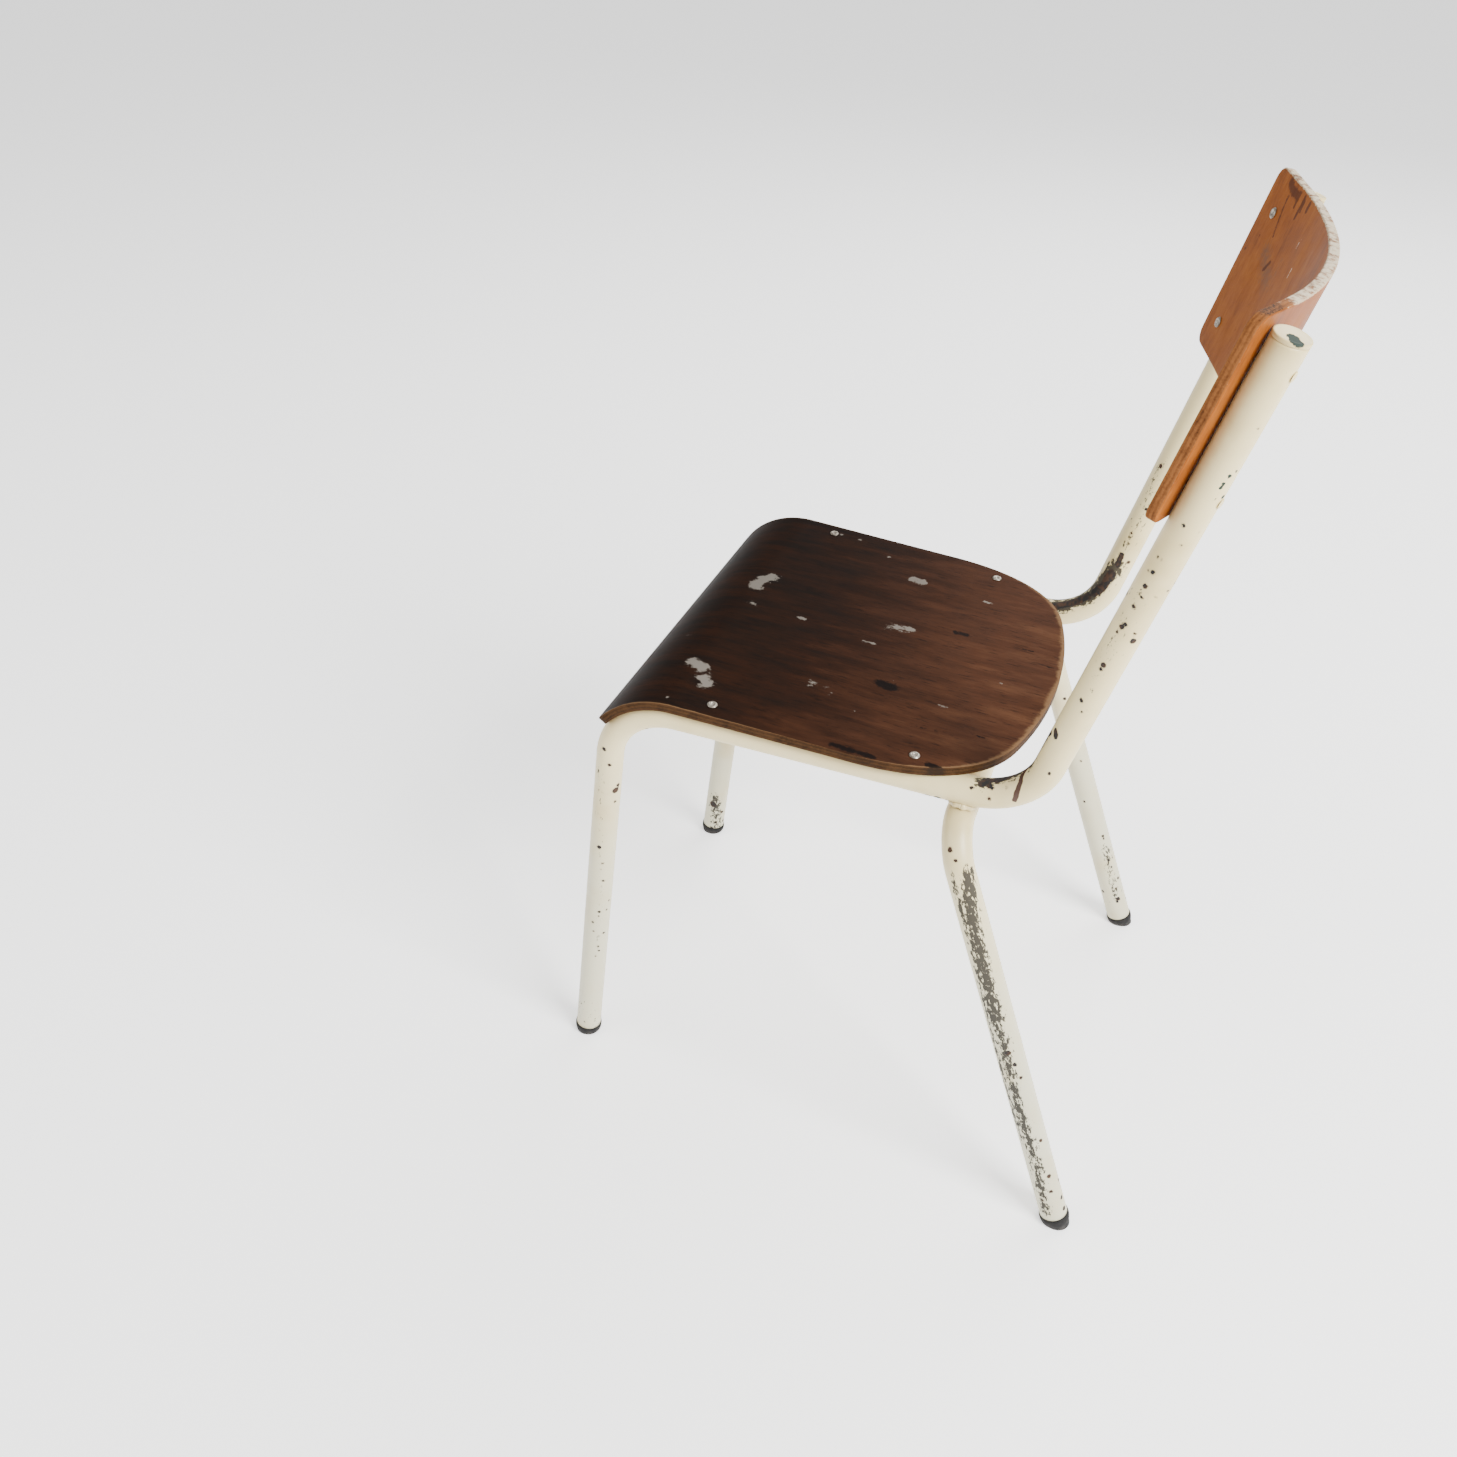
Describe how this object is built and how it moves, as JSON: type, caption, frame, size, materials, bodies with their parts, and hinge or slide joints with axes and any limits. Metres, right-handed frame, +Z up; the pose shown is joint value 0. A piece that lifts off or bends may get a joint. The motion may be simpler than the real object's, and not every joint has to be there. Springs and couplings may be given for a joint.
{
  "type": "student desk chair",
  "caption": "Stacking classroom chair: bent steel tube frame with a splayed rear leg hoop, moulded plywood seat with a rolled front, curved plywood back, riveted on.",
  "frame": {"origin": "on the floor under the middle of the chair's bounding box, with the four feet resting on z = 0", "axes": "+Z up; -Y is the front, the way a sitter faces; +X is the sitter's left"},
  "size_m": [0.4364, 0.5546, 0.8488],
  "materials": {
    "frame_enamel": "worn ivory stove enamel over steel, chipped to dark metal",
    "seat_ply": "dark stained and varnished beech plywood, worn",
    "back_ply": "orange-brown varnished beech plywood, worn edges",
    "rivet_steel": "dull plated steel",
    "foot_rubber": "matt dark grey rubber"
  },
  "bodies": {
    "root": {"side_tube_left": "frame_enamel", "side_tube_right": "frame_enamel", "rear_leg_hoop": "frame_enamel", "front_cross_tube": "frame_enamel", "tube_cap_left": "frame_enamel", "tube_cap_right": "frame_enamel", "seat_board": "seat_ply", "back_board": "back_ply", "seat_rivet_front_left": "rivet_steel", "seat_rivet_front_right": "rivet_steel", "seat_rivet_rear_left": "rivet_steel", "seat_rivet_rear_right": "rivet_steel", "back_rivet_lower_left": "rivet_steel", "back_rivet_lower_right": "rivet_steel", "back_rivet_upper_left": "rivet_steel", "back_rivet_upper_right": "rivet_steel", "foot_plug_front_left": "foot_rubber", "foot_plug_front_right": "foot_rubber", "foot_plug_rear_left": "foot_rubber", "foot_plug_rear_right": "foot_rubber"}
  },
  "joints": []
}
